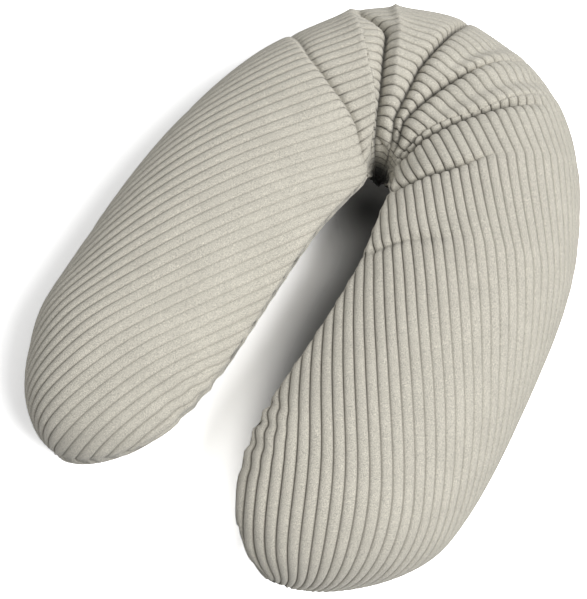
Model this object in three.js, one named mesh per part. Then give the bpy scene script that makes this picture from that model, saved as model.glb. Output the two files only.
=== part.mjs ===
// A long crescent cushion in jumbo-rib plush, bent into a narrow U and lying on its under side.
// Two crescent panels are joined by one seam all round, and the filled cover is one solid.
// Millimetres, +Z up. The bend is towards +Y and the open ends are towards -Y.
// The origin is on the floor, under the middle of the cushion's outline box.

import * as THREE from 'three';

// Driving dimensions
const TIP_LENGTH = 150; // an arm rounds off to its end over this length
const TIP_BLUNTNESS = 2; // 2 is an ellipse in plan, more is blunter
const TIP_DROP = 0.8; // how the height falls there against the width
const TIP_HEIGHT = 45; // of the seam at the very end
const SEAM_HEIGHT = 0.38; // of the inner seam, as a share of the panel width
const FOOT_CORNER = 0.12; // width of the outer under corner, as a share of the panel width
const FOOT_ROUNDNESS = 1.6; // how the corner runs out on the floor, 1 is a straight slope
const INNER_TUCK = 0.15; // how far the inner wall tucks under, as a share of the panel width

// Sections from the left arm's end to the right arm's end. place runs from -1 to 1.
// inner and outer are the section's two edges in plan, and panel is one panel's width over the curve.
const SECTIONS = [
  { place: -1, innerX: -48, innerY: -371, outerX: -282, outerY: -371, panel: 330 },
  { place: -0.75, innerX: -40, innerY: -195, outerX: -275, outerY: -203, panel: 337 },
  { place: -0.5, innerX: -41, innerY: -3, outerX: -274, outerY: 21, panel: 337 },
  { place: -0.35, innerX: -29, innerY: 92, outerX: -238, outerY: 185, panel: 335 },
  { place: -0.2, innerX: -27, innerY: 121, outerX: -162, outerY: 311, panel: 327 },
  { place: -0.1, innerX: -24, innerY: 130, outerX: -79, outerY: 362, panel: 316 },
  { place: 0, innerX: -19, innerY: 134, outerX: 11, outerY: 368, panel: 308 },
  { place: 0.1, innerX: -13, innerY: 131, outerX: 92, outerY: 344, panel: 316 },
  { place: 0.2, innerX: -5, innerY: 120, outerX: 165, outerY: 288, panel: 330 },
  { place: 0.35, innerX: 10, innerY: 84, outerX: 235, outerY: 162, panel: 341 },
  { place: 0.5, innerX: 29, innerY: -22, outerX: 270, outerY: 7, panel: 350 },
  { place: 0.75, innerX: 31, innerY: -198, outerX: 276, outerY: -207, panel: 353 },
  { place: 1, innerX: 22, innerY: -360, outerX: 264, outerY: -364, panel: 350 },
];

// The upper panel's slope across a section, in degrees, from the inner seam to the outer seam.
const SLOPES = [
  { at: 0, slope: 52 },
  { at: 0.08, slope: 31 },
  { at: 0.16, slope: 8 },
  { at: 0.3, slope: 1 },
  { at: 0.43, slope: -5 },
  { at: 0.56, slope: -29 },
  { at: 0.7, slope: -54 },
  { at: 0.82, slope: -74 },
  { at: 0.88, slope: -90 },
  { at: 1, slope: -115 },
];

// Creases and ridges that run out from the inside of the bend over the upper panel. from and to are
// places in plan. A positive depth is a trough, and it runs out towards its far end.
const FOLDS = [
  { from: [-28, 92], to: [-190, 205], depth: -5, width: 14 },
  { from: [-23, 133], to: [-96, 264], depth: 12, width: 13 },
  { from: [-22, 133], to: [-26, 330], depth: 14, width: 13 },
  { from: [-18, 214], to: [22, 285], depth: 6, width: 11 },
  { from: [-17, 138], to: [92, 271], depth: 9, width: 12 },
  { from: [14, 88], to: [80, 160], depth: 8, width: 12 },
  { from: [30, -10], to: [102, 65], depth: 6, width: 12 },
];

// How finely the solid is faceted
const TIP_STEPS = 9;
const ARM_STEPS = 16;
const BEND_STEPS = 56;
const BEND_FROM = -0.4; // the bend's close stations run from here to the same place on the other arm
const TOP_STEPS = 24;
const CORNER_STEPS = 4;
const WALL_STEPS = 6;
const SEAM_STEPS = 3; // the folds fade out over this many top steps beside a seam
const SLOPE_SAMPLES = 12; // to each top step
const LENGTH_SAMPLES = 200;

const CLOTH_COLOUR = 0xc4beb1;

// A value of a table's column between its rows, on a smooth curve through them.
function smoothValue(rows, column, place) {
  const last = rows.length - 1;
  let row = 0;
  while (row < last - 1 && place > rows[row + 1].place) {
    row += 1;
  }
  const tangent = (i) => {
    const low = rows[Math.max(i - 1, 0)];
    const high = rows[Math.min(i + 1, last)];
    return (high[column] - low[column]) / (high.place - low.place);
  };
  const span = rows[row + 1].place - rows[row].place;
  const t = (place - rows[row].place) / span;
  const rise = rows[row + 1][column] - rows[row][column];
  const before = tangent(row) * span;
  const after = tangent(row + 1) * span;
  const bent = (3 * rise - 2 * before - after) * t ** 2 + (before + after - 2 * rise) * t ** 3;
  return rows[row][column] + before * t + bent;
}

function slopeAt(across) {
  let row = 0;
  while (row < SLOPES.length - 2 && across > SLOPES[row + 1].at) {
    row += 1;
  }
  const low = SLOPES[row];
  const high = SLOPES[row + 1];
  const t = (across - low.at) / (high.at - low.at);
  return THREE.MathUtils.degToRad(low.slope + (high.slope - low.slope) * t);
}

// One section for a panel width of 1: points once round, from the inner seam over the top to the
// outer seam, then back under the cushion. off runs from -0.5 at the inner edge to 0.5 at the outer
// edge, and give is 1 where the upper panel is free to fold and 0 on its seams.
function unitSection() {
  let off = 0;
  let z = SEAM_HEIGHT;
  const step = 1 / (TOP_STEPS * SLOPE_SAMPLES);
  const points = [{ off, z, give: 0 }];
  for (let i = 0; i < TOP_STEPS * SLOPE_SAMPLES; i += 1) {
    const slope = slopeAt((i + 0.5) * step);
    off += Math.cos(slope) * step;
    z += Math.sin(slope) * step;
    if ((i + 1) % SLOPE_SAMPLES === 0) {
      const fromSeam = Math.min(points.length, TOP_STEPS - points.length);
      points.push({ off, z, give: Math.min(fromSeam / SEAM_STEPS, 1) });
    }
  }
  for (let i = 1; i <= CORNER_STEPS; i += 1) {
    const t = i / CORNER_STEPS;
    points.push({ off: off - FOOT_CORNER * t, z: z * (1 - t) ** FOOT_ROUNDNESS, give: 0 });
  }
  for (let i = 0; i < WALL_STEPS; i += 1) {
    const up = i / WALL_STEPS;
    const tuck = 1 - Math.sqrt(1 - (1 - up) ** 2);
    points.push({ off: INNER_TUCK * tuck, z: SEAM_HEIGHT * up, give: 0 });
  }
  const offs = points.map((p) => p.off);
  const lowest = Math.min(...offs);
  const width = Math.max(...offs) - lowest;
  return points.map((p) => ({ ...p, off: (p.off - lowest) / width - 0.5 }));
}

const ring = unitSection();

function edgesAt(place) {
  const value = (column) => smoothValue(SECTIONS, column, place);
  return {
    inner: new THREE.Vector3(value('innerX'), value('innerY'), 0),
    outer: new THREE.Vector3(value('outerX'), value('outerY'), 0),
  };
}

function middleAt(place) {
  const { inner, outer } = edgesAt(place);
  return inner.add(outer).multiplyScalar(0.5);
}

// Length along the middle line up to each of a row of places.
function lengthTable() {
  const table = [{ place: -1, length: 0 }];
  let before = middleAt(-1);
  for (let i = 1; i <= LENGTH_SAMPLES; i += 1) {
    const place = -1 + (2 * i) / LENGTH_SAMPLES;
    const here = middleAt(place);
    table.push({ place, length: table[i - 1].length + here.distanceTo(before) });
    before = here;
  }
  return table;
}

const lengths = lengthTable();
const middleLength = lengths[LENGTH_SAMPLES].length;

// 1 in the arms, falling to 0 at the ends.
function tipShare(place) {
  const length = smoothValue(lengths, 'length', place);
  const toEnd = Math.min(length, middleLength - length);
  const q = Math.min(Math.max(toEnd, 0) / TIP_LENGTH, 1);
  return Math.sqrt(1 - (1 - q) ** TIP_BLUNTNESS);
}

// The section's points at a place along the cushion, before the folds.
function sectionAt(place) {
  const { inner, outer } = edgesAt(place);
  const middle = inner.clone().add(outer).multiplyScalar(0.5);
  const across = outer.sub(inner);
  const share = tipShare(place);
  const heightShare = share ** TIP_DROP;
  const panel = smoothValue(SECTIONS, 'panel', place);
  return ring.map((p) => {
    const point = middle.clone().addScaledVector(across, p.off * share);
    point.z = TIP_HEIGHT * (1 - heightShare) + p.z * panel * heightShare;
    return point;
  });
}

const folds = FOLDS.map(({ from, to, depth, width }) => {
  const line = new THREE.Line3(new THREE.Vector3(...from, 0), new THREE.Vector3(...to, 0));
  return { line, depth, width };
});

// How deep the folds press in at a point of the upper panel.
function pressedIn(point) {
  const spot = new THREE.Vector3(point.x, point.y, 0);
  let pressed = 0;
  for (const { line, depth, width } of folds) {
    const reached = line.closestPointToPointParameter(spot, true);
    const gap = line.at(reached, new THREE.Vector3()).distanceTo(spot);
    pressed += depth * (1 - reached ** 2) * Math.exp(-((gap / width) ** 2));
  }
  return pressed;
}

function foldedSection(place) {
  const points = sectionAt(place);
  const before = sectionAt(place - 1e-3);
  return points.map((point, i) => {
    if (ring[i].give === 0) {
      return point;
    }
    const along = point.clone().sub(before[i]);
    const inward = points[i + 1].clone().sub(points[i - 1]).cross(along).normalize();
    return point.clone().addScaledVector(inward, ring[i].give * pressedIn(point));
  });
}

// Places of the stations along the cushion: close together in the tips and round the bend.
function stations() {
  const places = [];
  const tip = lengths.find((row) => row.length > TIP_LENGTH).place + 1;
  for (let i = 1; i <= TIP_STEPS; i += 1) {
    places.push(-1 + tip * (1 - Math.cos((Math.PI / 2) * (i / TIP_STEPS))));
  }
  for (let i = 1; i <= ARM_STEPS; i += 1) {
    places.push(THREE.MathUtils.lerp(-1 + tip, BEND_FROM, i / ARM_STEPS));
  }
  for (let i = 1; i < BEND_STEPS / 2; i += 1) {
    places.push(BEND_FROM * (1 - i / (BEND_STEPS / 2)));
  }
  const mirrored = places.map((p) => -p).reverse();
  return [...places, 0, ...mirrored];
}

function cushionGeometry() {
  const positions = [];
  const index = [];
  const count = ring.length;
  const places = stations();
  for (const place of places) {
    for (const point of foldedSection(place)) {
      positions.push(point.x, point.y, point.z);
    }
  }
  for (let i = 0; i < places.length - 1; i += 1) {
    for (let j = 0; j < count; j += 1) {
      const a = i * count + j;
      const b = i * count + ((j + 1) % count);
      index.push(a, a + count, b, b, a + count, b + count);
    }
  }
  for (const end of [0, 1]) {
    const rim = end * (places.length - 1) * count;
    const tip = middleAt(2 * end - 1);
    const middle = positions.length / 3;
    positions.push(tip.x, tip.y, TIP_HEIGHT);
    for (let j = 0; j < count; j += 1) {
      const a = rim + j;
      const b = rim + ((j + 1) % count);
      index.push(...(end === 0 ? [middle, a, b] : [middle, b, a]));
    }
  }
  const geometry = new THREE.BufferGeometry();
  geometry.setAttribute('position', new THREE.Float32BufferAttribute(positions, 3));
  geometry.setIndex(index);
  geometry.computeVertexNormals();
  return geometry;
}

const cloth = new THREE.MeshStandardMaterial({
  name: 'rib_plush',
  color: CLOTH_COLOUR,
  roughness: 0.95,
  metalness: 0,
});

const pillow = new THREE.Mesh(cushionGeometry(), cloth);
pillow.name = 'pillow';

const part = new THREE.Group();
part.add(pillow);

export default part;
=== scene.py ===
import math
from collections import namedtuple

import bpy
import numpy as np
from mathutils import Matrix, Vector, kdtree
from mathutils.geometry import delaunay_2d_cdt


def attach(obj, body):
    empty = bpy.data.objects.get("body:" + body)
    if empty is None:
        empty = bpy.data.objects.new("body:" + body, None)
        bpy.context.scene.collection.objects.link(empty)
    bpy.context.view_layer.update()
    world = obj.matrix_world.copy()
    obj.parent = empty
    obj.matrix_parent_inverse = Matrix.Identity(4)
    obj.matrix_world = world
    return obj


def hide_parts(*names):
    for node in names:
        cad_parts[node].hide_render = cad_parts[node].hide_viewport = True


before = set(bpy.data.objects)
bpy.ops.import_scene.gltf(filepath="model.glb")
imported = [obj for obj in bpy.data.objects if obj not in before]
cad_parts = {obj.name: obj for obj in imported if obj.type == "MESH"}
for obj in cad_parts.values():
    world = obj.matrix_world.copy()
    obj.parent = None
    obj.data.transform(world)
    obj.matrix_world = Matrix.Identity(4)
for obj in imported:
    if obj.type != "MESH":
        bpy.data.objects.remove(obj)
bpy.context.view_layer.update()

# %% [markdown]
# # A crescent cushion in jumbo-rib plush
# The real cushion is two crescents of rib plush, sewn together all round and filled. It is bent
# into a narrow U and lies on its under side. This lesson sews it in the same order: the section
# and the bend, the flat crescent with its ribs, the two panels on the bend, the folds that the
# bend leaves, the filling's push, the ribs, the pile, and last the light.

# %% [markdown]
# ## The bend, as a table of sections
# A bent cushion has no single radius, so its plan is given as a row of cross sections from the
# left arm's end to the right arm's end. A curve with a bevel would give every section the same
# size, and the two arms differ. Each row has the inner and the outer edge in plan and the width of
# one panel over the curve. A smooth curve runs through each column.

# %% The sections, in metres
Section = namedtuple("Section", "place inner_x inner_y outer_x outer_y panel")
SECTIONS = [
    Section(-1.00, -0.035, -0.371, -0.272, -0.371, 0.330),
    Section(-0.88, -0.034, -0.290, -0.2685, -0.292, 0.334),
    Section(-0.75, -0.031, -0.195, -0.278, -0.203, 0.337),
    Section(-0.50, -0.032, -0.003, -0.279, 0.021, 0.337),
    Section(-0.35, -0.021, 0.092, -0.243, 0.188, 0.335),
    Section(-0.20, -0.033, 0.124, -0.163, 0.312, 0.327),
    Section(-0.10, -0.028, 0.131, -0.081, 0.368, 0.316),
    Section(0.00, -0.019, 0.134, 0.011, 0.372, 0.308),
    Section(0.10, -0.013, 0.131, 0.093, 0.350, 0.316),
    Section(0.20, -0.005, 0.120, 0.167, 0.291, 0.330),
    Section(0.35, 0.009, 0.084, 0.240, 0.165, 0.341),
    Section(0.50, 0.028, -0.022, 0.273, 0.007, 0.350),
    Section(0.75, 0.029, -0.198, 0.284, -0.207, 0.353),
    Section(1.00, 0.019, -0.362, 0.233, -0.362, 0.350),
]


def smooth_curve(at, value, place):
    """A value at any place, on a smooth curve through a table's rows."""
    at, value = np.array(at, float), np.array(value, float)
    slope = np.empty_like(value)
    slope[1:-1] = (value[2:] - value[:-2]) / (at[2:] - at[:-2])
    slope[0], slope[-1] = (value[[1, -1]] - value[[0, -2]]) / (at[[1, -1]] - at[[0, -2]])
    i = np.clip(np.searchsorted(at, place, side="right") - 1, 0, len(at) - 2)
    span = at[i + 1] - at[i]
    t = (place - at[i]) / span
    rise = value[i + 1] - value[i]
    before, after = slope[i] * span, slope[i + 1] * span
    squared, cubed = 3 * rise - 2 * before - after, before + after - 2 * rise
    return value[i] + before * t + squared * t**2 + cubed * t**3


def along(column, place):
    """A column of the section table at any place."""
    rows = [(row.place, getattr(row, column)) for row in SECTIONS]
    return smooth_curve(*zip(*rows), place)


print("sections", len(SECTIONS), "panel up to", max(row.panel for row in SECTIONS), "m wide")

# %% [markdown]
# ## The section
# The upper panel starts at the inner seam, which stands high and sharp, runs flat over the crown
# and rolls down past upright to the outer seam near the floor. It is given as slopes, because a
# slope is what the ribs show: they look close together where the cloth turns away. The under
# panel runs from the inner seam down a tucked wall, along the floor and up a low corner.

# %% The section's two halves
Slope = namedtuple("Slope", "across degrees")
SLOPES = [
    Slope(0.00, 52),
    Slope(0.08, 31),
    Slope(0.16, 8),
    Slope(0.30, 1),
    Slope(0.43, -5),
    Slope(0.56, -29),
    Slope(0.70, -54),
    Slope(0.82, -74),
    Slope(0.88, -90),
    Slope(1.00, -115),
]
SEAM_HEIGHT = 0.38  # of the inner seam. Like all lengths here it is a share of the panel width
INNER_TUCK = 0.19  # the inner wall's foot lies this far under the cushion
TUCK_ROUNDNESS = 1.15
INNER_FOOT = 1.3  # roundness of the wall's foot, seen from the side
FOOT_CORNER = 0.12  # width of the low corner before the outer seam
FOOT_ROUNDNESS = 1.6
SAMPLES = 400
FOOT_SAMPLES = 80


def upper_half():
    """Offset and height over the upper panel, for a panel width of 1."""
    across = np.linspace(0, 1, SAMPLES + 1)
    middle = (across[1:] + across[:-1]) / 2
    slope = np.radians(np.interp(middle, *np.transpose(SLOPES)))
    off = np.concatenate([[0], np.cumsum(np.cos(slope))]) / SAMPLES
    high = SEAM_HEIGHT + np.concatenate([[0], np.cumsum(np.sin(slope))]) / SAMPLES
    return off, high


def under_half(outer_off, outer_high):
    """The same under the cushion, evenly spaced over the cloth from the inner to the outer seam."""
    left = np.linspace(1, 0, FOOT_SAMPLES)
    off = np.concatenate([INNER_TUCK * (1 - left) ** TUCK_ROUNDNESS, outer_off - FOOT_CORNER * left])
    high = np.concatenate([SEAM_HEIGHT * left**INNER_FOOT, outer_high * (1 - left) ** FOOT_ROUNDNESS])
    length = np.concatenate([[0], np.cumsum(np.hypot(np.diff(off), np.diff(high)))])
    even = np.linspace(0, length[-1], SAMPLES + 1)
    return np.interp(even, length, off), np.interp(even, length, high)


upper_off, upper_high = upper_half()
under_off, under_high = under_half(upper_off[-1], upper_high[-1])
least, most = min(upper_off.min(), under_off.min()), max(upper_off.max(), under_off.max())
upper_off, under_off = ((off - least) / (most - least) - 0.5 for off in (upper_off, under_off))
print("outer seam at", round(upper_high[-1], 3), "crown at", round(upper_high.max(), 3), "of the width")

# %% [markdown]
# ## The bend as a table that numpy can read
# Everything later asks where a spot of a panel is. So the sections are sampled closely once, with
# the length along the cushion and how far each arm has rounded off towards its end. The rounding
# is part of a circle, because a filled bag's end is close to one.

# %% Lengths and rounded ends
TIP_LENGTH = 0.15  # each arm rounds off over this length
TIP_BLUNTNESS = 2
TIP_DROP = 0.8  # below 1, so the end keeps its height longer than its width
TIP_HEIGHT = 0.040  # of the very tip over the floor
PLACE_COUNT = 4001
PLACES = np.sin(np.linspace(-math.pi / 2, math.pi / 2, PLACE_COUNT))
inner_edge = np.stack([along("inner_x", PLACES), along("inner_y", PLACES)], 1)
outer_edge = np.stack([along("outer_x", PLACES), along("outer_y", PLACES)], 1)


def run(points):
    """Length along a row of points."""
    return np.concatenate([[0], np.cumsum(np.linalg.norm(np.diff(points, axis=0), axis=1))])


middle_run = run((inner_edge + outer_edge) / 2)
to_end = np.minimum(middle_run, middle_run[-1] - middle_run)
tip_share = np.sqrt(1 - (1 - np.minimum(to_end / TIP_LENGTH, 1)) ** TIP_BLUNTNESS)


def on_cushion(place, across, under):
    """The spot on the smooth cushion at a place along it and a share across a panel."""
    inner = np.stack([along("inner_x", place), along("inner_y", place)], 1)
    outer = np.stack([along("outer_x", place), along("outer_y", place)], 1)
    share = np.interp(place, PLACES, tip_share)
    spot = across * SAMPLES
    grid = np.arange(SAMPLES + 1)
    off = np.where(under, np.interp(spot, grid, under_off), np.interp(spot, grid, upper_off))
    high = np.where(under, np.interp(spot, grid, under_high), np.interp(spot, grid, upper_high))
    plan = (inner + outer) / 2 + (outer - inner) * (off * share)[:, None]
    rise = share**TIP_DROP
    z = TIP_HEIGHT * (1 - rise) + high * along("panel", place) * rise
    return np.column_stack([plan, z])


print("cushion is", round(middle_run[-1], 3), "m along its middle")

# %% [markdown]
# ## The flat crescent
# Cut flat, each panel is a shallow crescent, and the ribs run straight across it, along its chord.
# On the bent cushion that one rule gives the ribs their slant: nearly along the arms, and round the
# bend. The table says how far the outer edge has turned from the chord, in radians, along its
# length. At the ends the panel is longer than the plan shows, because it also goes down over the
# end, so the length there follows the crown. A texture of stripes could give the slant too, but
# only a cut makes the ribs meet the seam where real ones do.

# %% The crescent's outer edge
Turn = namedtuple("Turn", "share turned")
TURNS = [
    Turn(-1.00, 0.54),
    Turn(-0.80, 0.53),
    Turn(-0.60, 0.51),
    Turn(-0.45, 0.43),
    Turn(-0.30, 0.23),
    Turn(-0.15, 0.08),
    Turn(0.00, 0.05),
    Turn(0.15, 0.01),
    Turn(0.30, -0.22),
    Turn(0.45, -0.43),
    Turn(0.60, -0.59),
    Turn(0.80, -0.73),
    Turn(1.00, -0.85),
]
ARM_FROM = 0.6  # past this place the flat length follows the crown
CROWN = 0.35  # share across the panel

on_top = np.zeros(PLACE_COUNT, bool)
crown_step = np.diff(run(on_cushion(PLACES, np.full(PLACE_COUNT, CROWN), on_top)))
outer_step = np.diff(run(outer_edge))
flat_step = np.where(np.abs(PLACES[1:]) > ARM_FROM, crown_step, outer_step)
flat_run = np.concatenate([[0], np.cumsum(flat_step)])
share_run = flat_run / (flat_run[-1] / 2) - 1
turned = smooth_curve(*zip(*TURNS), share_run)
panel_width = along("panel", PLACES)
print("outer edge", round(flat_run[-1], 3), "m when flat")


# %% Flat points and places
SEARCH_STEPS = 36
LEAST_SHARE = 1e-4  # keeps the very tip from dividing by 0


def crescent_edge():
    """The crescent's outer edge as flat points, before its ends are rounded."""
    step = np.diff(flat_run)
    angle = (turned[1:] + turned[:-1]) / 2
    x = np.concatenate([[0], np.cumsum(step * np.cos(angle))])
    y = np.concatenate([[0], np.cumsum(step * np.sin(angle))])
    return np.stack([x, y], 1)


edge_flat = crescent_edge()
edge_inward = np.stack([np.sin(turned), -np.cos(turned)], 1)


def flat_spot(across):
    """The flat points at a share across the panel, all along the crescent."""
    inward = panel_width / 2 + (0.5 - across) * panel_width * tip_share
    return edge_flat + edge_inward * inward[:, None]


def place_of(flat):
    """The place along the cushion and the share across the panel of flat points."""
    low, high = np.zeros(len(flat)), np.full(len(flat), flat_run[-1])
    for _ in range(SEARCH_STEPS):
        guess = (low + high) / 2
        at = np.stack([np.interp(guess, flat_run, edge_flat[:, i]) for i in (0, 1)], 1)
        angle = np.interp(guess, flat_run, turned)
        ahead = ((flat - at) * np.stack([np.cos(angle), np.sin(angle)], 1)).sum(1) > 0
        low, high = np.where(ahead, guess, low), np.where(ahead, high, guess)
    inward = ((flat - at) * np.stack([np.sin(angle), -np.cos(angle)], 1)).sum(1)
    width = np.interp(guess, flat_run, panel_width)
    share = np.maximum(np.interp(guess, flat_run, tip_share), LEAST_SHARE)
    return np.interp(guess, flat_run, PLACES), 0.5 - (inward - width / 2) / (width * share)


flat_size = np.ptp(np.concatenate([flat_spot(0.0), flat_spot(1.0)]), axis=0)
print("flat crescent", flat_size.round(3), "m")

# %% [markdown]
# ## Cloth cut along its ribs
# A rib is only crisp if the mesh runs along it. So the flat crescent is filled with rows of points
# that follow the ribs, close together beside each groove and wider over the crown of a rib. The
# rows end on the panel's edge, and a Delaunay triangulation joins them up. It is done on stretched
# coordinates in which the rows are one unit apart, so that its triangles lie along the ribs. A
# subdivided grid would cut across the ribs, and would need many more faces to show them.

# %% Rows of points
RIB_PITCH = 0.0116
UPPER_ROWS = [0, 0.06, 0.17, 0.36, 0.64, 0.83, 0.94]  # shares of a rib's width
UNDER_ROWS = [0, 0.12, 0.5, 0.88]
Step = namedtuple("Step", "place length")  # between points along a rib
UPPER_STEPS = [
    Step(-1, 0.0045),
    Step(-0.93, 0.0045),
    Step(-0.85, 0.009),
    Step(-0.5, 0.009),
    Step(-0.37, 0.0031),
    Step(0.4, 0.0031),
    Step(0.58, 0.009),
    Step(0.72, 0.006),
    Step(0.88, 0.006),
    Step(0.94, 0.0045),
    Step(1, 0.0045),
]
UNDER_STEPS = [
    Step(-1, 0.005),
    Step(-0.93, 0.005),
    Step(-0.85, 0.01),
    Step(0.85, 0.01),
    Step(0.93, 0.005),
    Step(1, 0.005),
]
REACH_COUNT = 2000
ROW_SHAPE = 0.9  # height of a row in the stretched coordinates
low_corner = np.minimum(flat_spot(1.0).min(0), flat_spot(0.0).min(0))
high_corner = np.maximum(flat_spot(1.0).max(0), flat_spot(0.0).max(0))
reach = np.linspace(low_corner[0], high_corner[0], REACH_COUNT)


def steps_along(steps):
    """How many steps along a rib lie before each reach of the flat cut."""
    length = np.interp(np.interp(reach, edge_flat[:, 0], PLACES), *zip(*steps))
    return np.concatenate([[0], np.cumsum(np.diff(reach) / length[1:])])


def stretched(flat, rows, steps):
    """Flat metres as mesh units: one unit to a step along a rib and to a row across it."""
    count = flat[:, 1] / RIB_PITCH
    row = np.floor(count) * len(rows) + np.interp(count % 1, rows + [1], range(len(rows) + 1))
    return np.stack([np.interp(flat[:, 0], reach, steps_along(steps)), row * ROW_SHAPE], 1)


most_steps = [round(steps_along(steps)[-1]) for steps in (UPPER_STEPS, UNDER_STEPS)]
print("steps along the longest ribs above and below", most_steps)


# %% Outline and filling points
EDGE_CLEARANCE = 0.45  # from the outline, in the stretched coordinates
LAST_PLACE = 0.9999


def panel_outline():
    """The crescent's closed edge as flat points with their place and share across."""
    flat = np.concatenate([flat_spot(1.0)[:-1], flat_spot(0.0)[:0:-1]])
    place = np.concatenate([PLACES[:-1], PLACES[:0:-1]])
    across = np.concatenate([np.ones(len(PLACES) - 1), np.zeros(len(PLACES) - 1)])
    length = run(stretched(flat, UPPER_ROWS, UPPER_STEPS))
    even = np.linspace(0, length[-1], int(length[-1]), endpoint=False)
    at = [np.interp(even, length, column) for column in (flat[:, 0], flat[:, 1], place)]
    nearest = np.clip(np.searchsorted(length, even), 0, len(across) - 1)
    return np.stack(at[:2], 1), at[2], across[nearest]


def panel_filling(rows, steps, edge):
    """Points inside the crescent in rows along the ribs."""
    first, last = (int(math.floor(y / RIB_PITCH)) for y in (low_corner[1], high_corner[1]))
    heights = [(rib + row) * RIB_PITCH for rib in range(first, last + 1) for row in rows]
    points = []
    for i, y in enumerate(heights):
        even = np.arange((1 + i % 2) / 2, steps_along(steps)[-1])
        x = np.interp(even, steps_along(steps), reach)
        points.append(np.stack([x, np.full(len(x), y)], 1))
    flat = np.concatenate(points)
    place, across = place_of(flat)
    inside = (across > 0) & (across < 1) & (np.abs(place) < LAST_PLACE)
    flat, place, across = flat[inside], place[inside], across[inside]
    tree = kdtree.KDTree(len(edge))
    for i, (x, y) in enumerate(edge):
        tree.insert((x, y, 0), i)
    tree.balance()
    clear = [tree.find((x, y, 0))[2] > EDGE_CLEARANCE for x, y in stretched(flat, rows, steps)]
    return flat[clear], place[clear], across[clear]


outline_flat, outline_place, outline_across = panel_outline()
print("outline points", len(outline_flat))

# %% [markdown]
# ## Two panels, joined on their edge
# On the real cushion one seam joins the panels all round. Here both panels are triangulated on the
# same outline points, which makes the seam at once, with nothing to merge and no gap.

# %% Cutting the panels
def cut_panel(rows, steps):
    """One panel: its inner points and its triangles, numbered after the outline's own points."""
    edge = stretched(outline_flat, rows, steps)
    flat, place, across = panel_filling(rows, steps, edge)
    points = np.concatenate([edge, stretched(flat, rows, steps)])
    made = delaunay_2d_cdt([Vector(p) for p in points], [], [list(range(len(edge)))], 1, 1e-6)
    source = [ids[0] for ids in made[3]]
    faces = np.array([[source[i] for i in face] for face in made[2]])
    return flat, place, across, faces


upper_flat, upper_place, upper_across, upper_faces = cut_panel(UPPER_ROWS, UPPER_STEPS)
under_flat, under_place, under_across, under_faces = cut_panel(UNDER_ROWS, UNDER_STEPS)
edge_count, upper_count = len(outline_flat), len(upper_flat)
flat = np.concatenate([outline_flat, upper_flat, under_flat])
place = np.concatenate([outline_place, upper_place, under_place])
across = np.concatenate([outline_across, upper_across, under_across])
is_under = np.arange(len(flat)) >= edge_count + upper_count
shifted = np.where(under_faces < edge_count, under_faces, under_faces + upper_count)
faces = np.concatenate([upper_faces, shifted[:, ::-1]])
print("points", len(flat), "triangles", len(upper_faces), "above", len(under_faces), "below")

# %% [markdown]
# ## Gathering the spare cloth in creases
# Bending shortens the inner side, and the spare cloth goes into creases that fan out from one pit.
# Between two creases the cloth keeps its length, so its ribs stay straight and at their own pitch,
# and they change direction at a crease. So each stretch from its middle to a crease is laid at true
# length, and what is left over is gathered at the crease. A simulation would find creases too, but
# in places of its own, so they are a table here.

# %% The creases
Crease = namedtuple("Crease", "name at_seam at_low at_crown at_high at_side depth left right begins ends")
CREASES = [
    Crease("left_step", -0.285, -0.278, -0.305, -0.311, -0.305, 0.0070, 0.003, 0.026, 0.00, 0.75),
    Crease("drop_edge", -0.150, -0.165, -0.198, -0.205, -0.212, 0.0020, 0.002, 0.006, 0.00, 0.70),
    Crease("left_valley", -0.110, -0.148, -0.158, -0.160, -0.203, 0.0170, 0.007, 0.006, 0.00, 0.66),
    Crease("deep_valley", 0.000, -0.070, -0.071, -0.058, -0.050, 0.0130, 0.005, 0.005, 0.02, 0.75),
    Crease("short_valley", 0.032, -0.030, 0.008, 0.035, 0.060, 0.0110, 0.004, 0.004, 0.03, 0.50),
    Crease("beads_right", 0.080, 0.078, 0.122, 0.126, 0.132, 0.0090, 0.004, 0.003, 0.00, 0.20),
    Crease("right_valley", 0.135, 0.110, 0.128, 0.140, 0.150, 0.0110, 0.005, 0.005, 0.00, 0.58),
    Crease("low_valley", 0.333, 0.281, 0.243, 0.240, 0.240, 0.0110, 0.005, 0.005, 0.00, 0.30),
    Crease("arm_valley", 0.470, 0.430, 0.405, 0.402, 0.400, 0.0060, 0.006, 0.006, 0.00, 0.26),
]
CREASE_ACROSS = [0, 0.15, 0.35, 0.5, 0.65]  # shares across the panel of the table's five places


def crease_place(crease, across):
    """A crease's place along the cushion at a share across the panel."""
    return np.interp(across, CREASE_ACROSS, crease[1:6])


print("creases", [crease.name for crease in CREASES])

# %% Lengths of cloth and of bend
BEND_ENDS = [-0.6, 0.62]  # the places between which the cloth is gathered
GRID_PLACES = np.linspace(*BEND_ENDS, 481)
GRID_ACROSS = np.linspace(0, 1, 41)
grid_place, grid_across = np.meshgrid(GRID_PLACES, GRID_ACROSS)


def flat_at(place, across):
    """The flat point at a place along the cushion and a share across the panel."""
    edge = np.stack([np.interp(place, PLACES, edge_flat[:, i]) for i in (0, 1)], 1)
    inward = np.stack([np.interp(place, PLACES, edge_inward[:, i]) for i in (0, 1)], 1)
    width = np.interp(place, PLACES, panel_width)
    share = np.interp(place, PLACES, tip_share)
    return edge + inward * (width / 2 + (0.5 - across) * width * share)[:, None]


def runs_of(spots):
    """Lengths along each row of a grid of spots."""
    spots = spots.reshape(grid_place.shape + (-1,))
    step = np.linalg.norm(np.diff(spots, axis=1), axis=2)
    return np.concatenate([np.zeros((len(spots), 1)), np.cumsum(step, axis=1)], 1)


cloth_runs = runs_of(flat_at(grid_place.ravel(), grid_across.ravel()))
all_on_top = np.zeros(grid_place.size, bool)
bend_runs = runs_of(on_cushion(grid_place.ravel(), grid_across.ravel(), all_on_top))


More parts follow.
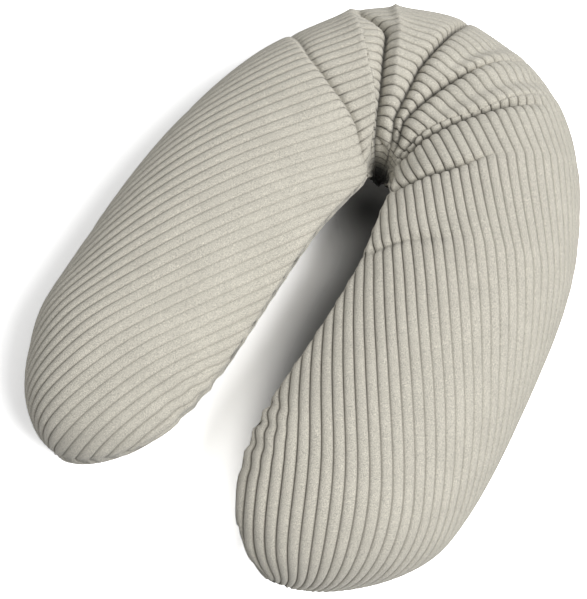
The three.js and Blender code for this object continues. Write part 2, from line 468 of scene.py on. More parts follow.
def from_grid(table, place, across):
    """A value of a table over places and shares across, between its rows and columns."""
    column = np.clip((place - BEND_ENDS[0]) / (BEND_ENDS[1] - BEND_ENDS[0]), 0, 1) * (len(GRID_PLACES) - 1)
    row = np.clip(across, 0, 1) * (len(GRID_ACROSS) - 1)
    i = np.minimum(column.astype(int), len(GRID_PLACES) - 2)
    j = np.minimum(row.astype(int), len(GRID_ACROSS) - 2)
    u, v = column - i, row - j
    low = table[j, i] * (1 - u) + table[j, i + 1] * u
    high = table[j + 1, i] * (1 - u) + table[j + 1, i + 1] * u
    return low * (1 - v) + high * v


inner_row = len(GRID_ACROSS) // 10
kept_length = bend_runs[inner_row, -1] / cloth_runs[inner_row, -1]
print("inner side keeps", round(float(kept_length), 2), "of its cloth's length")

# %% Gathering
SOFTNESS = 0.07  # of the gathering, as a share of a stretch
BEND_SEARCH_STEPS = 24


def eased(x):
    """Close to x where x is positive and to 0 where it is negative."""
    return (x + np.sqrt(x**2 + SOFTNESS**2)) / 2


def laid(place, across, middle, crease):
    """How far along the bend cloth is laid from a stretch's middle to its crease, and how much shows."""
    start, end = from_grid(bend_runs, middle, across), from_grid(bend_runs, crease, across)
    used = from_grid(cloth_runs, place, across) - from_grid(cloth_runs, middle, across)
    cloth = from_grid(cloth_runs, crease, across) - from_grid(cloth_runs, middle, across)
    here, full = used / (end - start), cloth / (end - start)
    left_over = eased(1 - full)
    whole = eased(1.0) - left_over
    length = start + (end - start) * (1 - (eased(1 - here) - left_over) / whole)
    return length, (1 + (1 - here) / np.sqrt((1 - here) ** 2 + SOFTNESS**2)) / 2


def gather(place, across):
    """Places on the bend once the spare cloth is gathered, and how much of the cloth still shows."""
    creases = [crease_place(crease, across) for crease in CREASES]
    middles = [(a + b) / 2 for a, b in zip(creases[:-1], creases[1:])]
    middles = [np.full(len(place), BEND_ENDS[0]), *middles, np.full(len(place), BEND_ENDS[1])]
    wanted = from_grid(bend_runs, place, across)
    showing = np.ones(len(place))
    for crease, before, after in zip(creases, middles[:-1], middles[1:]):
        left_side = (place > before) & (place <= crease)
        right_side = (place > crease) & (place < after)
        for middle, side in ((before, left_side), (after, right_side)):
            wanted[side], showing[side] = laid(place[side], across[side], middle[side], crease[side])
    low, high = np.full(len(place), BEND_ENDS[0]), np.full(len(place), BEND_ENDS[1])
    for _ in range(BEND_SEARCH_STEPS):
        guess = (low + high) / 2
        short = from_grid(bend_runs, guess, across) < wanted
        low, high = np.where(short, guess, low), np.where(short, high, guess)
    bent = (place > BEND_ENDS[0]) & (place < BEND_ENDS[1])
    return np.where(bent, guess, place), showing


bent_place, showing = gather(place, across)
print("least cloth showing", round(float(showing.min()), 2))

# %% [markdown]
# ## On to the bend
# Each flat point is put on the bent cushion. Cloth between two creases hangs nearly straight from
# one to the other, so there the points are pulled towards a straight line. Each point also gets
# the smooth cushion's normal, because folds, filling and ribs push the cloth in or out along it.

# %% Normals and volume
TINY = 1e-12


def normals_of(points):
    """Outward normals at the points, weighted by the area of the triangles round each."""
    a, b, c = (points[faces[:, i]] for i in range(3))
    normal = np.cross(b - a, c - a)
    total = np.zeros_like(points)
    for i in range(3):
        for axis in range(3):
            total[:, axis] += np.bincount(faces[:, i], normal[:, axis], len(points))
    return total / np.maximum(np.linalg.norm(total, axis=1), TINY)[:, None]


def volume_of(points):
    """The volume that the triangles enclose, negative if they face inwards."""
    a, b, c = (points[faces[:, i]] for i in range(3))
    return (a * np.cross(b, c)).sum() / 6


smooth_volume = volume_of(on_cushion(place, across, is_under))
print("smooth cushion of", round(abs(smooth_volume) * 1000, 1), "litres")

# %% Straight between the creases
FACET = 0.9  # how far the cloth between two creases is pulled straight
OUTER_FACET = 0.15  # the same near the outer seam
FACET_CHANGE = (0.5, 0.4)  # from this share across the panel, over this much of it
crease_places = [crease_place(crease, across) for crease in CREASES]
crease_spots = [on_cushion(place_there, across, is_under) for place_there in crease_places]
crease_runs = [from_grid(bend_runs, place_there, across) for place_there in crease_places]
outer_part = np.clip((across - FACET_CHANGE[0]) / FACET_CHANGE[1], 0, 1)
facet_pull = FACET + (OUTER_FACET - FACET) * outer_part


def faceted(place):
    """Spots on the bend at each point's given place, pulled straight between creases."""
    spot = on_cushion(place, across, is_under)
    here = from_grid(bend_runs, place, across)
    for i in range(len(CREASES) - 1):
        part = (here - crease_runs[i]) / (crease_runs[i + 1] - crease_runs[i])
        straight = crease_spots[i] + (crease_spots[i + 1] - crease_spots[i]) * part[:, None]
        spot += (straight - spot) * (facet_pull * (part > 0) * (part < 1))[:, None]
    return spot


body = faceted(bent_place)
if volume_of(body) < 0:
    faces = faces[:, ::-1]
print("litres", round(volume_of(body) * 1000, 1))

# %% Which way is out
NUDGE = 0.004


def outward_at(place, across, under):
    """Outward normals of the smooth cushion."""
    ahead, behind = np.minimum(place + NUDGE, 1), np.maximum(place - NUDGE, -1)
    low, high = np.clip(across - NUDGE, 0, 1), np.clip(across + NUDGE, 0, 1)
    along_it = on_cushion(ahead, across, under) - on_cushion(behind, across, under)
    across_it = on_cushion(place, high, under) - on_cushion(place, low, under)
    normal = np.cross(across_it, along_it) * np.where(under, -1, 1)[:, None]
    return normal / np.maximum(np.linalg.norm(normal, axis=1), TINY)[:, None]


outward = outward_at(bent_place, across, is_under)
if (outward * normals_of(body)).sum() < 0:
    outward = -outward
panel_there = np.interp(place, PLACES, panel_width * tip_share)
seam_gap = np.minimum(across, 1 - across) * panel_there
print("deepest point is", round(float(seam_gap.max()), 3), "m from a seam")

# %% [markdown]
# ## The folds of the bend
# Where the cushion is bent, its spare cloth folds inwards at the creases. A crease is pressed in
# as a V with rounded shoulders, steepest at its bottom. A step has one short and one long side.
# Ridges between the creases stand up a little, and soft ripples run beside them. Sculpting could
# make them too, but a table can be tuned fold by fold against the real cushion.

# %% Ridges and ripples
RIDGES = [
    Crease("drop_edge", -0.150, -0.165, -0.198, -0.205, -0.212, 0.0055, 0.014, 0.003, 0.10, 0.85),
    Crease("top_ridge", -0.100, -0.110, -0.133, -0.140, -0.153, 0.0060, 0.005, 0.010, 0.25, 0.90),
]
Ripple = namedtuple("Ripple", "name at_seam at_low at_crown at_high at_side depth width begins ends")
RIPPLES = [
    Ripple("first_dip", -0.020, -0.020, -0.020, 0.000, 0.020, 0.0035, 0.009, 0.38, 0.70),
    Ripple("first_rise", 0.010, 0.010, 0.010, 0.027, 0.045, -0.0030, 0.009, 0.42, 0.70),
    Ripple("second_rise", 0.030, 0.030, 0.030, 0.055, 0.080, -0.0020, 0.009, 0.42, 0.68),
    Ripple("second_dip", 0.050, 0.050, 0.078, 0.092, 0.105, 0.0040, 0.010, 0.22, 0.70),
]
print("ridges", [ridge.name for ridge in RIDGES], "ripples", [ripple.name for ripple in RIPPLES])

# %% Pressing in the folds
FADE = 0.08  # share of the panel over which a fold begins. It ends over twice as much
FINGER = 0.0075  # length of a rib's rounded end at a crease
CREASE_REACH = 0.008
DEEP_CREASE = 0.005  # deeper creases have notches between the rib ends
# creases at least this deep get the full painted shade at their bottom
FULL_SHADE_DEPTH = 0.009  # a crease this deep has a dark bottom
CREASE_SHADE = 0.8
SEAM_HOLD = 0.012  # the seam holds the cloth flat as far as this from it


def fade_in(across, begins, ends):
    """1 between two shares across the panel, falling to 0 outside them."""
    return np.clip((across - begins) / FADE + 0.5, 0, 1) * np.clip((ends - across) / FADE / 2 + 0.5, 0, 1)


def gap_to(line):
    """Distance from each point to a line that runs across the panel, and the line's own places."""
    there = crease_place(line, across)
    return np.linalg.norm(body - faceted(there), axis=1), there


def pressed_by(line):
    """How deep a crease presses each point in, or how far a ridge lifts it."""
    gap, there = gap_to(line)
    width = np.where(bent_place < there, line.left, line.right)
    return line.depth * fade_in(across, line.begins, line.ends) * np.exp(-gap / width)


def rippled_by(line):
    """The same for a soft ripple."""
    gap = gap_to(line)[0] / line.width
    return line.depth * fade_in(across, line.begins, line.ends) * np.exp(-(gap**2))


def rounded_end(line):
    """1 away from a crease, falling in a quarter round to 0 at it, where the ribs end like fingertips."""
    gap = np.minimum(gap_to(line)[0] / FINGER, 1)
    return 1 - fade_in(across, line.begins, line.ends) * (1 - np.sqrt(1 - (1 - gap) ** 2))


def beside(line):
    """1 at a crease, falling off on both sides."""
    gap = gap_to(line)[0] / CREASE_REACH
    return fade_in(across, line.begins, line.ends) * np.exp(-(gap**2))


pressed = np.max([pressed_by(crease) for crease in CREASES], axis=0)
pressed -= np.max([pressed_by(ridge) for ridge in RIDGES], axis=0)
pressed += np.sum([rippled_by(ripple) for ripple in RIPPLES], axis=0)
pressed *= ~is_under * np.minimum(seam_gap / SEAM_HOLD, 1)
fingers = np.min([rounded_end(crease) for crease in CREASES], axis=0)
# painted shade for the finish, darkest at the bottom of each crease
crease_painted_shade = np.max([pressed_by(crease) / max(crease.depth, FULL_SHADE_DEPTH) for crease in CREASES], axis=0)
crease_painted_shade *= CREASE_SHADE * ~is_under
deep_creases = [crease for crease in CREASES if crease.depth > DEEP_CREASE]
near_crease = ~is_under * np.max([beside(crease) for crease in deep_creases], axis=0)
folded = body - outward * pressed[:, None]
print("deepest fold", round(float(pressed.max()) * 1000, 1), "mm")

# %% The funnel round the pit
PIT = (-0.019, 0.124)  # where the creases meet, in plan
FUNNEL_REACH = 0.045
FUNNEL_DEPTH = 0.14  # of the height there
from_pit = folded[:, :2] - PIT
funnel = FUNNEL_DEPTH * np.exp(-((from_pit**2).sum(1) / FUNNEL_REACH**2))
folded[:, 2] *= 1 - funnel
print("funnel of", round(float(funnel.max()), 2), "of the height")

# %% [markdown]
# ## The filling's push
# The filling presses the cover out from inside. A toile, which is the same folded cover in coarser
# cloth, is drawn in a little and then blown up by a cloth simulation, pinned at its seam and where
# it stands. The fine cover has too many points to be simulated itself, so how far each spot of the
# toile moved is laid on it. A limit keeps the folds in place.

# %% The toile
TOILE_MESH = 0.008


def toile_of(points):
    """The folded cover again as a coarser closed cloth."""
    cloth = bpy.data.meshes.new("toile")
    cloth.from_pydata(points.tolist(), [], faces.tolist())
    toile = bpy.data.objects.new("toile", cloth)
    bpy.context.collection.objects.link(toile)
    bpy.ops.object.select_all(action="DESELECT")
    toile.select_set(True)
    bpy.context.view_layer.objects.active = toile
    cloth.remesh_voxel_size = TOILE_MESH
    bpy.ops.object.voxel_remesh()
    return toile


def spots_of(thing):
    """An object's points as an array."""
    spots = np.empty(len(thing.data.vertices) * 3)
    thing.data.vertices.foreach_get("co", spots)
    return spots.reshape(-1, 3)


def tree_of(spots):
    """A search tree that finds the nearest of the spots."""
    tree = kdtree.KDTree(len(spots))
    for i, spot in enumerate(spots):
        tree.insert(spot, i)
    tree.balance()
    return tree


print("toile's mesh", TOILE_MESH * 1000, "mm")

# %% Blowing up the toile
TOILE_FRAMES = 20
FILLING_PRESSURE = 6


def blow_up(toile, pinned):
    """Push the toile out with a cloth simulation and leave the result on its mesh."""
    group = toile.vertex_groups.new(name="pinned")
    group.add(pinned, 1.0, "REPLACE")
    push = toile.modifiers.new("filling_push", "CLOTH")
    push.settings.quality = 4
    push.settings.mass = 0.3
    push.settings.tension_stiffness = 15
    push.settings.compression_stiffness = 15
    push.settings.shear_stiffness = 5
    push.settings.bending_stiffness = 0.5
    push.settings.use_pressure = True
    push.settings.uniform_pressure_force = FILLING_PRESSURE
    push.settings.effector_weights.gravity = 0
    push.settings.vertex_group_mass = group.name
    push.collision_settings.use_collision = False
    push.point_cache.frame_start = 1
    push.point_cache.frame_end = TOILE_FRAMES
    for frame_number in range(1, TOILE_FRAMES + 1):
        bpy.context.scene.frame_set(frame_number)
    bpy.ops.object.modifier_apply(modifier=push.name)


print("simulated frames", TOILE_FRAMES)

# %% Laying the push on the cover
DRAWN_IN = 0.0015  # before the filling pushes it out again
DRAWN_FROM = 0.02  # the drawing in starts this far from the seam and the floor
STANDS_BELOW = 0.006
PINNED_SEAM = 0.009
PUSH_LIMIT = 0.008
PUSH_NEIGHBOURS = 8
LEAST_GAP = 0.001


def filled(points):
    """The points once the filling has pushed them out."""
    room = np.minimum(seam_gap, points[:, 2]) / DRAWN_FROM
    drawn = points - outward * (DRAWN_IN * np.clip(room, 0, 1))[:, None]
    toile = toile_of(drawn)
    before = spots_of(toile)
    seam = tree_of(drawn[:edge_count])
    at_seam = [seam.find(spot)[2] < PINNED_SEAM for spot in before]
    pinned = [i for i, spot in enumerate(before) if spot[2] < STANDS_BELOW or at_seam[i]]
    blow_up(toile, pinned)
    moved = spots_of(toile) - before
    length = np.linalg.norm(moved, axis=1)
    moved *= np.minimum(1, PUSH_LIMIT / np.maximum(length, TINY))[:, None]
    print("toile of", len(before), "points, moved", length.mean().round(4), "to", length.max().round(4), "m")
    tree = tree_of(before)
    pushed = drawn.copy()
    for i, spot in enumerate(drawn):
        closest = tree.find_n(spot, PUSH_NEIGHBOURS)
        share = np.array([1 - gap / (closest[-1][2] + LEAST_GAP) for _, _, gap in closest])
        pushed[i] += share @ moved[[j for _, j, _ in closest]] / share.sum()
    bpy.data.objects.remove(toile)
    return pushed


folded = filled(folded)
bpy.context.scene.frame_set(1)

# %% [markdown]
# ## The pit and the puckers
# Where the creases meet, the bend draws the cloth down into a narrow pit, which the finish darkens with
# painted shade, and near the arms' ends the inner seam is puckered by its stitching. The pit is a smooth
# drop, longer than wide. The puckers draw the seam in at a few places, and fade out over the panels beside
# it.

# %% The pit where the creases meet
PIT_SIZE = (0.012, 0.024)  # half its width and half its length
PIT_ALONG = math.radians(122)  # the way its length runs, in plan
PIT_DEPTH = 0.75  # of the height there
from_pit = folded[:, :2] - PIT
pit_along = from_pit @ (math.cos(PIT_ALONG), math.sin(PIT_ALONG))
pit_across = from_pit @ (-math.sin(PIT_ALONG), math.cos(PIT_ALONG))
in_pit = np.exp(-(((pit_across / PIT_SIZE[0]) ** 2 + (pit_along / PIT_SIZE[1]) ** 2) ** 2))
pit_drop = folded[:, 2] * PIT_DEPTH * in_pit
folded[:, 2] -= pit_drop
print("pit is", round(float(pit_drop.max()), 3), "m deep")

# %% Puckers along the inner seam
Pucker = namedtuple("Pucker", "place depth width")
PUCKERS = [
    Pucker(-0.85, 0.0030, 0.008),
    Pucker(-0.81, 0.0040, 0.007),
    Pucker(-0.775, 0.0030, 0.008),
    Pucker(0.765, 0.0040, 0.007),
    Pucker(0.80, 0.0055, 0.006),
    Pucker(0.838, 0.0050, 0.007),
    Pucker(0.875, 0.0030, 0.008),
]
PUCKER_REACH = 0.035  # from the seam over the panel
place_run = np.interp(bent_place, PLACES, middle_run)
edge_gap = outer_edge - inner_edge
towards_outer = np.stack([np.interp(bent_place, PLACES, edge_gap[:, i]) for i in (0, 1)], 1)
towards_outer /= np.linalg.norm(towards_outer, axis=1)[:, None]
from_inner_seam = across * panel_there
puckered = np.zeros(len(place))
for pucker in PUCKERS:
    gap = (place_run - np.interp(pucker.place, PLACES, middle_run)) / pucker.width
    puckered += pucker.depth * np.exp(-(gap**2)) * np.exp(-((from_inner_seam / PUCKER_REACH) ** 2))
folded[:, :2] += towards_outer * puckered[:, None]
print("puckers", len(PUCKERS), "up to", round(float(puckered.max()) * 1000, 1), "mm")

# %% [markdown]
# ## Ribs
# Each rib is a rounded welt of pile between two narrow grooves. The filling pulls some of the cloth
# flatter, so a table says how far the ribs stand at places along and across the panels. They also
# flatten where the seam holds the cloth and where the cushion stands on the floor. A bump map would
# leave the outline smooth, and the real outline shows each rib, so they are raised in the mesh.

# %% How far the ribs stand
RIB_HEIGHT = 0.0034
STANDING_ACROSS = [0, 0.2, 0.4, 0.65, 0.9]  # shares across the panel of the table's columns
Standing = namedtuple("Standing", "place seam low crown side outer")
# the same strengths also set how much painted shade the finish puts in the grooves
STANDING = [
    Standing(-1.00, 1.00, 0.80, 0.75, 1.30, 1.90),
    Standing(-0.75, 0.65, 0.42, 0.55, 1.35, 2.30),
    Standing(-0.40, 0.55, 0.48, 0.65, 1.35, 2.30),
    Standing(-0.20, 0.90, 0.85, 0.85, 0.95, 1.50),
    Standing(-0.05, 1.15, 1.15, 1.00, 0.85, 1.00),
    Standing(0.30, 1.25, 1.15, 0.85, 0.70, 0.85),
    Standing(0.42, 1.35, 1.10, 0.70, 0.62, 0.85),
    Standing(0.60, 1.45, 1.15, 0.62, 0.58, 0.85),
    Standing(1.00, 1.50, 1.40, 1.20, 1.05, 1.20),
]
UNDER_RIBS = 0.5  # the under side's ribs are flattened by the cushion's weight
UNDER_FADE = 0.05  # but not so close to the seam
NOTCH = 0.85  # the grooves are deeper between the rib ends at a crease


def how_far_standing():
    """How far the ribs stand up at each point, where 1 is the rib height."""
    grid = np.array([row[1:] for row in STANDING])
    at = np.stack([np.interp(place, [row.place for row in STANDING], column) for column in grid.T], 1)
    spot = np.interp(across, STANDING_ACROSS, range(len(STANDING_ACROSS)))
    left = np.minimum(spot.astype(int), len(STANDING_ACROSS) - 2)
    share = spot - left
    points = np.arange(len(place))
    return at[points, left] * (1 - share) + at[points, left + 1] * share


near_seam = np.exp(-seam_gap / UNDER_FADE)
rib_strength = how_far_standing() * np.where(is_under, UNDER_RIBS + (1 - UNDER_RIBS) * near_seam, 1)
rib_strength += NOTCH * near_crease
print("ribs stand", (RIB_HEIGHT * np.quantile(rib_strength, [0, 0.5, 1])).round(4), "m")

# %% Raising the ribs
RIB_ROUNDNESS = 2.6
SUNK = 0.7  # this much of a rib's height lies inside the smooth cushion
SEAM_DEPTH = 0.003
SEAM_WIDTH = 0.004
SEAM_ROUND = 0.007  # over this length each rib's end rounds down to the seam
BEND_SPAN = 0.36  # round the bend the inner seam is hidden in gathers, and its ribs are flat
BEND_FADE = 0.1
CALM_REACH = 0.008
LEAST_FACING = 1.02  # keeps some of the smooth normal in every rib's direction
rib_phase = flat[:, 1] / RIB_PITCH
rib_side = np.abs(2 * (rib_phase % 1) - 1)
welt = np.sqrt(1 - np.minimum(rib_side, 1) ** RIB_ROUNDNESS)
rib_end = np.sqrt(1 - (1 - np.clip(seam_gap / SEAM_ROUND, 0, 1)) ** 2)
in_bend = np.clip((BEND_SPAN - np.abs(bent_place)) / BEND_FADE, 0, 1)
calm = 1 - in_bend * np.exp(-((from_inner_seam / CALM_REACH) ** 2))
standing = showing * fingers * (0.5 + 0.5 * rib_end) * calm
seam_dip = SEAM_DEPTH * np.exp(-((seam_gap / SEAM_WIDTH) ** 2))
lift = RIB_HEIGHT * ((welt - 1) * rib_strength * standing + standing - SUNK) - seam_dip
facing = normals_of(folded) * showing[:, None] + outward * (LEAST_FACING - showing)[:, None]
facing /= np.linalg.norm(facing, axis=1)[:, None]
ribbed = folded + facing * lift[:, None]
ribbed[:, 2] = np.maximum(ribbed[:, 2], 0)
print("ribs on each panel", len(np.unique(np.floor(rib_phase))))

# %% The cushion's own mesh
mesh = bpy.data.meshes.new("rib_plush_cover")
mesh.from_pydata(ribbed.tolist(), [], faces.tolist())
mesh.update()
cushion = bpy.data.objects.new("rib_plush_cushion", mesh)
bpy.context.collection.objects.link(cushion)
for polygon in mesh.polygons:
    polygon.use_smooth = True
print("cushion", [round(x, 3) for x in cushion.dimensions], "triangles", len(mesh.polygons))

# %% [markdown]
# ## A map from the flat cut
# The two crescents are laid out flat for the baked pictures, the under one below the upper one. An
# automatic unwrap would cut the cover into many islands, and the cut has the right shape already.
# The count of ribs, their strength and the painted shade of the creases and the pit go on the points as
# attributes, so that the finish can find each groove and paint the shade.

# %% Layout and rib count
MAP_MARGIN = 0.01
MAP_GAP = 0.03  # between the two crescents, in metres of cloth
COUNT_FROM = 100  # keeps the count of ribs above 0
# how strongly the pit is darkened with painted shade
PIT_SHADE = 1.5
layer = mesh.uv_layers.new(name="OFBake")
corner_points = faces.ravel()
corner_under = np.repeat(np.arange(len(faces)) >= len(upper_faces), 3)
corner_flat = flat[corner_points] - corner_under[:, None] * np.array([0, panel_width.max() + MAP_GAP])
lowest, highest = corner_flat.min(0), corner_flat.max(0)
layout = MAP_MARGIN + (1 - 2 * MAP_MARGIN) * (corner_flat - lowest) / (highest - lowest)
layer.uv.foreach_set("vector", layout.astype(np.float32).ravel())
# the third value is painted shade, for the creases and the pit
on_points = {
    "rib_count": rib_phase + COUNT_FROM - pit_drop / RIB_PITCH,
    "rib_strength": rib_strength,
    "painted_crease_and_pit_shade": np.maximum(crease_painted_shade, np.minimum(in_pit * PIT_SHADE, 1)),
}
for name, value in on_points.items():
    attribute = mesh.attributes.new(name, "FLOAT", "POINT")
    attribute.data.foreach_set("value", value.astype(np.float32))
print("layout covers", (highest - lowest).round(3), "m")

# %% [markdown]
# ## Rib plush
# The pile is greige, with fine speckle from the fibres' ends. Painted shade makes it darker down in the
# groove, and a little darker on a rib's shoulders than on its crown. It could be a hair system, but that
# can't be exported, so speckle and a fine bump stand for the fibres. Sheen on the shader gives the soft
# light edge that pile has.

# %% Small helpers for finishes
def ranged(tree, value, given, wanted, kind="LINEAR"):
    """A socket's value, moved from a given range to a wanted one."""
    node = tree.nodes.new("ShaderNodeMapRange")
    node.interpolation_type = kind
    node.inputs["From Min"].default_value, node.inputs["From Max"].default_value = given
    node.inputs["To Min"].default_value, node.inputs["To Max"].default_value = wanted
    tree.links.new(value, node.inputs["Value"])
    return node.outputs[0]


def maths(tree, operation, first, second):
    """A maths node fed from a socket and from a socket or a number."""
    node = tree.nodes.new("ShaderNodeMath")
    node.operation = operation
    tree.links.new(first, node.inputs[0])
    if isinstance(second, (int, float)):
        node.inputs[1].default_value = second
    else:
        tree.links.new(second, node.inputs[1])
    return node.outputs[0]


def point_value(tree, name):
    """The value that the mesh's points carry under a name."""
    node = tree.nodes.new("ShaderNodeAttribute")
    node.attribute_name = name
    return node.outputs["Fac"]


print("values for the finish", list(on_points))

# %% The ribs' tones
# painted shade: the grooves and the ribs' shoulders are darker than the crown
PAINTED_GROOVE_SHADE = (0.13, 0.118, 0.095)
PAINTED_SHOULDER_SHADE = (0.52, 0.494, 0.424)
CROWN_TONE = (0.58, 0.552, 0.476)
Stop = namedtuple("Stop", "share tone")  # from one groove to the next
RIB_STOPS = [
    Stop(0.11, PAINTED_SHOULDER_SHADE),
    Stop(0.30, CROWN_TONE),
    Stop(0.70, CROWN_TONE),
    Stop(0.89, PAINTED_SHOULDER_SHADE),
]
# the grooves' painted shade shows more where the ribs stand more
RIB_STRENGTHS = (0.4, 1.5)
GROOVE_SHARES = (0.1, 1)  # how much of the grooves' tone shows at those strengths


def rib_tones(tree):
    """The pile's colour from groove to groove, with painted shade in the grooves and on the ribs' shoulders,
    fainter where the ribs stand less.
    """
    groove = tree.nodes.new("ShaderNodeValToRGB")
    for end, share in zip(groove.color_ramp.elements, (0, 1)):
        end.position = share
        end.color = (*PAINTED_GROOVE_SHADE, 1)
    for stop in RIB_STOPS:
        groove.color_ramp.elements.new(stop.share).color = (*stop.tone, 1)
    phase = maths(tree, "FRACT", point_value(tree, "rib_count"), 0)
    tree.links.new(phase, groove.inputs["Fac"])
    ribbing = tree.nodes.new("ShaderNodeMix")
    ribbing.data_type = "RGBA"
    ribbing.inputs["A"].default_value = (*CROWN_TONE, 1)
    painted = ranged(tree, point_value(tree, "rib_strength"), RIB_STRENGTHS, GROOVE_SHARES)
    tree.links.new(painted, ribbing.inputs["Factor"])
    tree.links.new(groove.outputs["Color"], ribbing.inputs["B"])
    return ribbing.outputs["Result"]


print("tones from groove to groove", len(RIB_STOPS) + 2)

# %% Speckle and the whole finish
SPECKLE_SCALE = 1100
PATCH_SCALE = 30
NOISE_RANGE = (0.3, 0.7)
SPECKLE_TONES = (0.56, 1.44)
PATCH_TONES = (0.96, 1.03)
# painted shade in the creases and the pit
CREASE_PAINTED_SHADE = (1, 0.06)  # from half way into a crease to its bottom


def noise(tree, scale, detail):
    """Even noise all over the cushion."""
    where = tree.nodes.new("ShaderNodeTexCoord")
    node = tree.nodes.new("ShaderNodeTexNoise")
    node.inputs["Scale"].default_value = scale
    node.inputs["Detail"].default_value = detail
    tree.links.new(where.outputs["Object"], node.inputs["Vector"])
    return node.outputs["Fac"]


def plush():
    """Matt rib plush with speckled pile, and painted shade in its grooves, its creases and its pit."""
    finish = bpy.data.materials.new("rib_plush")
    finish.use_nodes = True
    tree = finish.node_tree
    shader = tree.nodes["Principled BSDF"]
    shader.inputs["Roughness"].default_value = 0.95
    shader.inputs["Specular IOR Level"].default_value = 0.15
    shader.inputs["Sheen Weight"].default_value = 0.25
    shader.inputs["Sheen Roughness"].default_value = 0.6
    speckle = noise(tree, SPECKLE_SCALE, 3)
    fibres = ranged(tree, speckle, NOISE_RANGE, SPECKLE_TONES)
    patches = ranged(tree, noise(tree, PATCH_SCALE, 2), NOISE_RANGE, PATCH_TONES)
    shade = ranged(tree, point_value(tree, "painted_crease_and_pit_shade"), (0.5, 1), CREASE_PAINTED_SHADE)
    whole = maths(tree, "MULTIPLY", maths(tree, "MULTIPLY", fibres, patches), shade)
    colour = tree.nodes.new("ShaderNodeVectorMath")
    colour.operation = "SCALE"
    tree.links.new(rib_tones(tree), colour.inputs[0])
    tree.links.new(whole, colour.inputs["Scale"])
    tree.links.new(colour.outputs[0], shader.inputs["Base Color"])
    bump = tree.nodes.new("ShaderNodeBump")
    bump.inputs["Strength"].default_value = 0.7
    bump.inputs["Distance"].default_value = 0.001
    tree.links.new(speckle, bump.inputs["Height"])
    tree.links.new(bump.outputs["Normal"], shader.inputs["Normal"])
    return finish


mesh.materials.append(plush())
print("finish", mesh.materials[0].name, "of", len(mesh.materials[0].node_tree.nodes), "nodes")

# %% What the cushion is
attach(cushion, "root")
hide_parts("pillow")
print(cushion.name, "stands for the solid, as a padded piece")

# %% [markdown]
# ## The floor
# The photo's floor is burnt out to white, with only the deepest shade left between the arms. One
# plain floor can't be both that white and a normal source of light from below. So the floor that
# the camera sees is brighter than any real one, painted with that shade, and throws no light
# back, and a second, darker floor just below it gives the cushion its soft light from below.

# %% The floor that is seen
# painted shade on the seen floor, at the top of the gap and along the right arm's foot
GAP_TOP = (-0.024, 0.110, 0)  # where the gap between the arms is narrowest
GAP_SHADE = (0, 0.12)  # distances from it over which the seen floor grows lighter
GAP_TONES = (0.05, 1)
FOOT_START = (-0.025, -0.02)  # where the shade along the right arm's foot begins
FOOT_BEND = 1.15  # and how fast it draws back towards the arm's end
FOOT_SHADE = (-0.045, 0.035)
FOOT_TONES = (1, 0.11)
UNDER_ARM = (0.045, 0.085)  # past here the right arm stands on the floor, and the shade ends
SIDE_TO_GAP = (-0.25, -0.10)
# painted light: the seen floor is brighter between the arms than left of the cushion
SIDE_TONES = (1.75, 3.4)  # left of the cushion and between its arms
SMOOTH = "SMOOTHSTEP"


def shaded_finish():
    """A matt white, with painted shade at the top of the gap and along the right arm's foot, and painted
    light that makes it brighter between the arms than left of the cushion.
    """
    finish = bpy.data.materials.new("seen_floor_finish")
    finish.use_nodes = True
    tree = finish.node_tree
    tree.nodes.clear()
    where = tree.nodes.new("ShaderNodeTexCoord").outputs["Object"]
    split = tree.nodes.new("ShaderNodeSeparateXYZ")
    tree.links.new(where, split.inputs[0])
    from_top = tree.nodes.new("ShaderNodeVectorMath")
    from_top.operation = "DISTANCE"
    from_top.inputs[1].default_value = GAP_TOP
    tree.links.new(where, from_top.inputs[0])
    at_top = ranged(tree, from_top.outputs["Value"], GAP_SHADE, GAP_TONES, SMOOTH)
    down = maths(tree, "SUBTRACT", split.outputs["Y"], FOOT_START[1])
    bend = maths(tree, "MULTIPLY", maths(tree, "MULTIPLY", down, down), FOOT_BEND)
    beside_it = maths(tree, "SUBTRACT", split.outputs["X"], FOOT_START[0])
    at_foot = ranged(tree, maths(tree, "SUBTRACT", beside_it, bend), FOOT_SHADE, FOOT_TONES, SMOOTH)
    past_it = ranged(tree, split.outputs["X"], UNDER_ARM, (0, 1), SMOOTH)
    shade = maths(tree, "MULTIPLY", at_top, maths(tree, "MAXIMUM", at_foot, past_it))
    whole = ranged(tree, split.outputs["X"], SIDE_TO_GAP, SIDE_TONES, SMOOTH)
    matt = tree.nodes.new("ShaderNodeBsdfDiffuse")
    tree.links.new(maths(tree, "MULTIPLY", shade, whole), matt.inputs["Color"])
    output = tree.nodes.new("ShaderNodeOutputMaterial")
    tree.links.new(matt.outputs[0], output.inputs["Surface"])
    return finish


seen_finish = shaded_finish()
print("seen floor's finish has", len(seen_finish.node_tree.nodes), "nodes")


# %% Two floors
def plain_finish():
    """A plain matt grey."""
    finish = bpy.data.materials.new("lighting_floor_finish")
    finish.use_nodes = True
    shader = finish.node_tree.nodes["Principled BSDF"]
    shader.inputs["Base Color"].default_value = (0.2, 0.2, 0.2, 1)
    shader.inputs["Roughness"].default_value = 1
    return finish


def add_floor(name, height, finish):
    """A wide floor at a height, as part of the stage."""
    bpy.ops.object.select_all(action="DESELECT")
    bpy.ops.mesh.primitive_plane_add(size=12, location=(0, 0, height))
    floor = bpy.context.object
    floor.name = name
    floor.data.materials.append(finish)
    return floor


seen_floor = add_floor("seen_floor", 0, seen_finish)
seen_floor.visible_diffuse = False
lighting_floor = add_floor("lighting_floor", -0.001, plain_finish())
lighting_floor.visible_camera = False
print("floors", seen_floor.name, lighting_floor.name)

# %% [markdown]
# ## Light
# The photo has one broad soft light from its lower right and much light from all round. A sun
# lamp with a wide angle gives the same soft slope of shade on every part of the cushion, which an
# area lamp close by would not, and a plain white surround fills the rest.

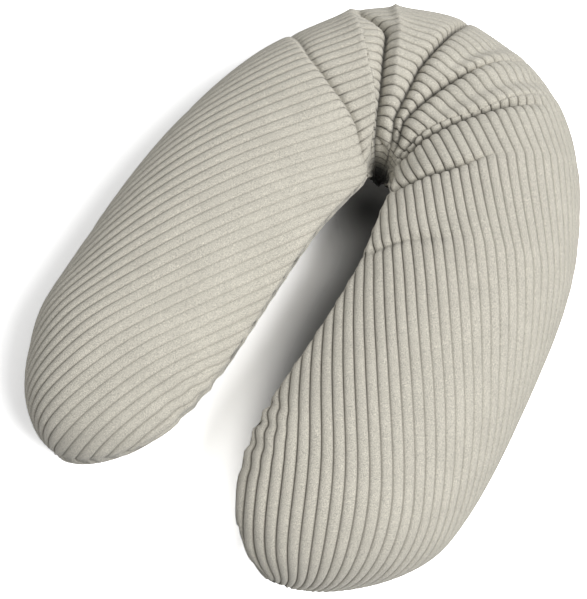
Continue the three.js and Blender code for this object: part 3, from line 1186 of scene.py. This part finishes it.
# %% Key light and surround
CAMERA_AZIMUTH = math.radians(32.2)
KEY_FROM = math.radians(-24)  # in the picture, turned down from its right
KEY_ELEVATION = math.radians(48)
KEY_STRENGTH = 2.2
KEY_SOFTNESS = math.radians(34)
SURROUND_STRENGTH = 0.54


def aim(thing, spot, target):
    """Put a lamp or a camera at a spot, looking at a target."""
    thing.location = spot
    thing.rotation_euler = (Vector(target) - Vector(spot)).to_track_quat("-Z", "Y").to_euler()


key_data = bpy.data.lights.new("key", "SUN")
key_data.energy = KEY_STRENGTH
key_data.angle = KEY_SOFTNESS
key = bpy.data.objects.new("key", key_data)
bpy.context.collection.objects.link(key)
turn = CAMERA_AZIMUTH + KEY_FROM
flat_way = Vector((math.cos(turn), math.sin(turn), 0)) * math.cos(KEY_ELEVATION)
aim(key, (flat_way + Vector((0, 0, math.sin(KEY_ELEVATION)))) * 3, (0, 0, 0))
world = bpy.data.worlds.new("surround")
world.use_nodes = True
world.node_tree.nodes["Background"].inputs["Color"].default_value = (1, 1, 1, 1)
world.node_tree.nodes["Background"].inputs["Strength"].default_value = SURROUND_STRENGTH
bpy.context.scene.world = world
bpy.context.scene.view_settings.view_transform = "Standard"
print("key light", [round(x, 2) for x in key.location])

# %% [markdown]
# ## Camera
# The photo is taken from high up, from the side of the open ends and a little towards the right
# arm. The lens follows from how many metres one pixel of the photo shows at the cushion.

# %% Camera
CAMERA_ELEVATION = math.radians(69)
CAMERA_DISTANCE = 1.894
CAMERA_TARGET = Vector((-0.0195, -0.0736, 0.090))
METRES_PER_PIXEL = 0.00118
IMAGE_HEIGHT = 599

lens = bpy.data.cameras.new("studio")
lens.sensor_width = 36
lens.lens = CAMERA_DISTANCE / METRES_PER_PIXEL / IMAGE_HEIGHT * lens.sensor_width
camera = bpy.data.objects.new("studio", lens)
bpy.context.collection.objects.link(camera)
away = Vector((
    math.sin(CAMERA_AZIMUTH) * math.cos(CAMERA_ELEVATION),
    -math.cos(CAMERA_AZIMUTH) * math.cos(CAMERA_ELEVATION),
    math.sin(CAMERA_ELEVATION),
))
aim(camera, CAMERA_TARGET + away * CAMERA_DISTANCE, CAMERA_TARGET)
bpy.context.scene.camera = camera
print("lens", round(lens.lens, 1), "mm")
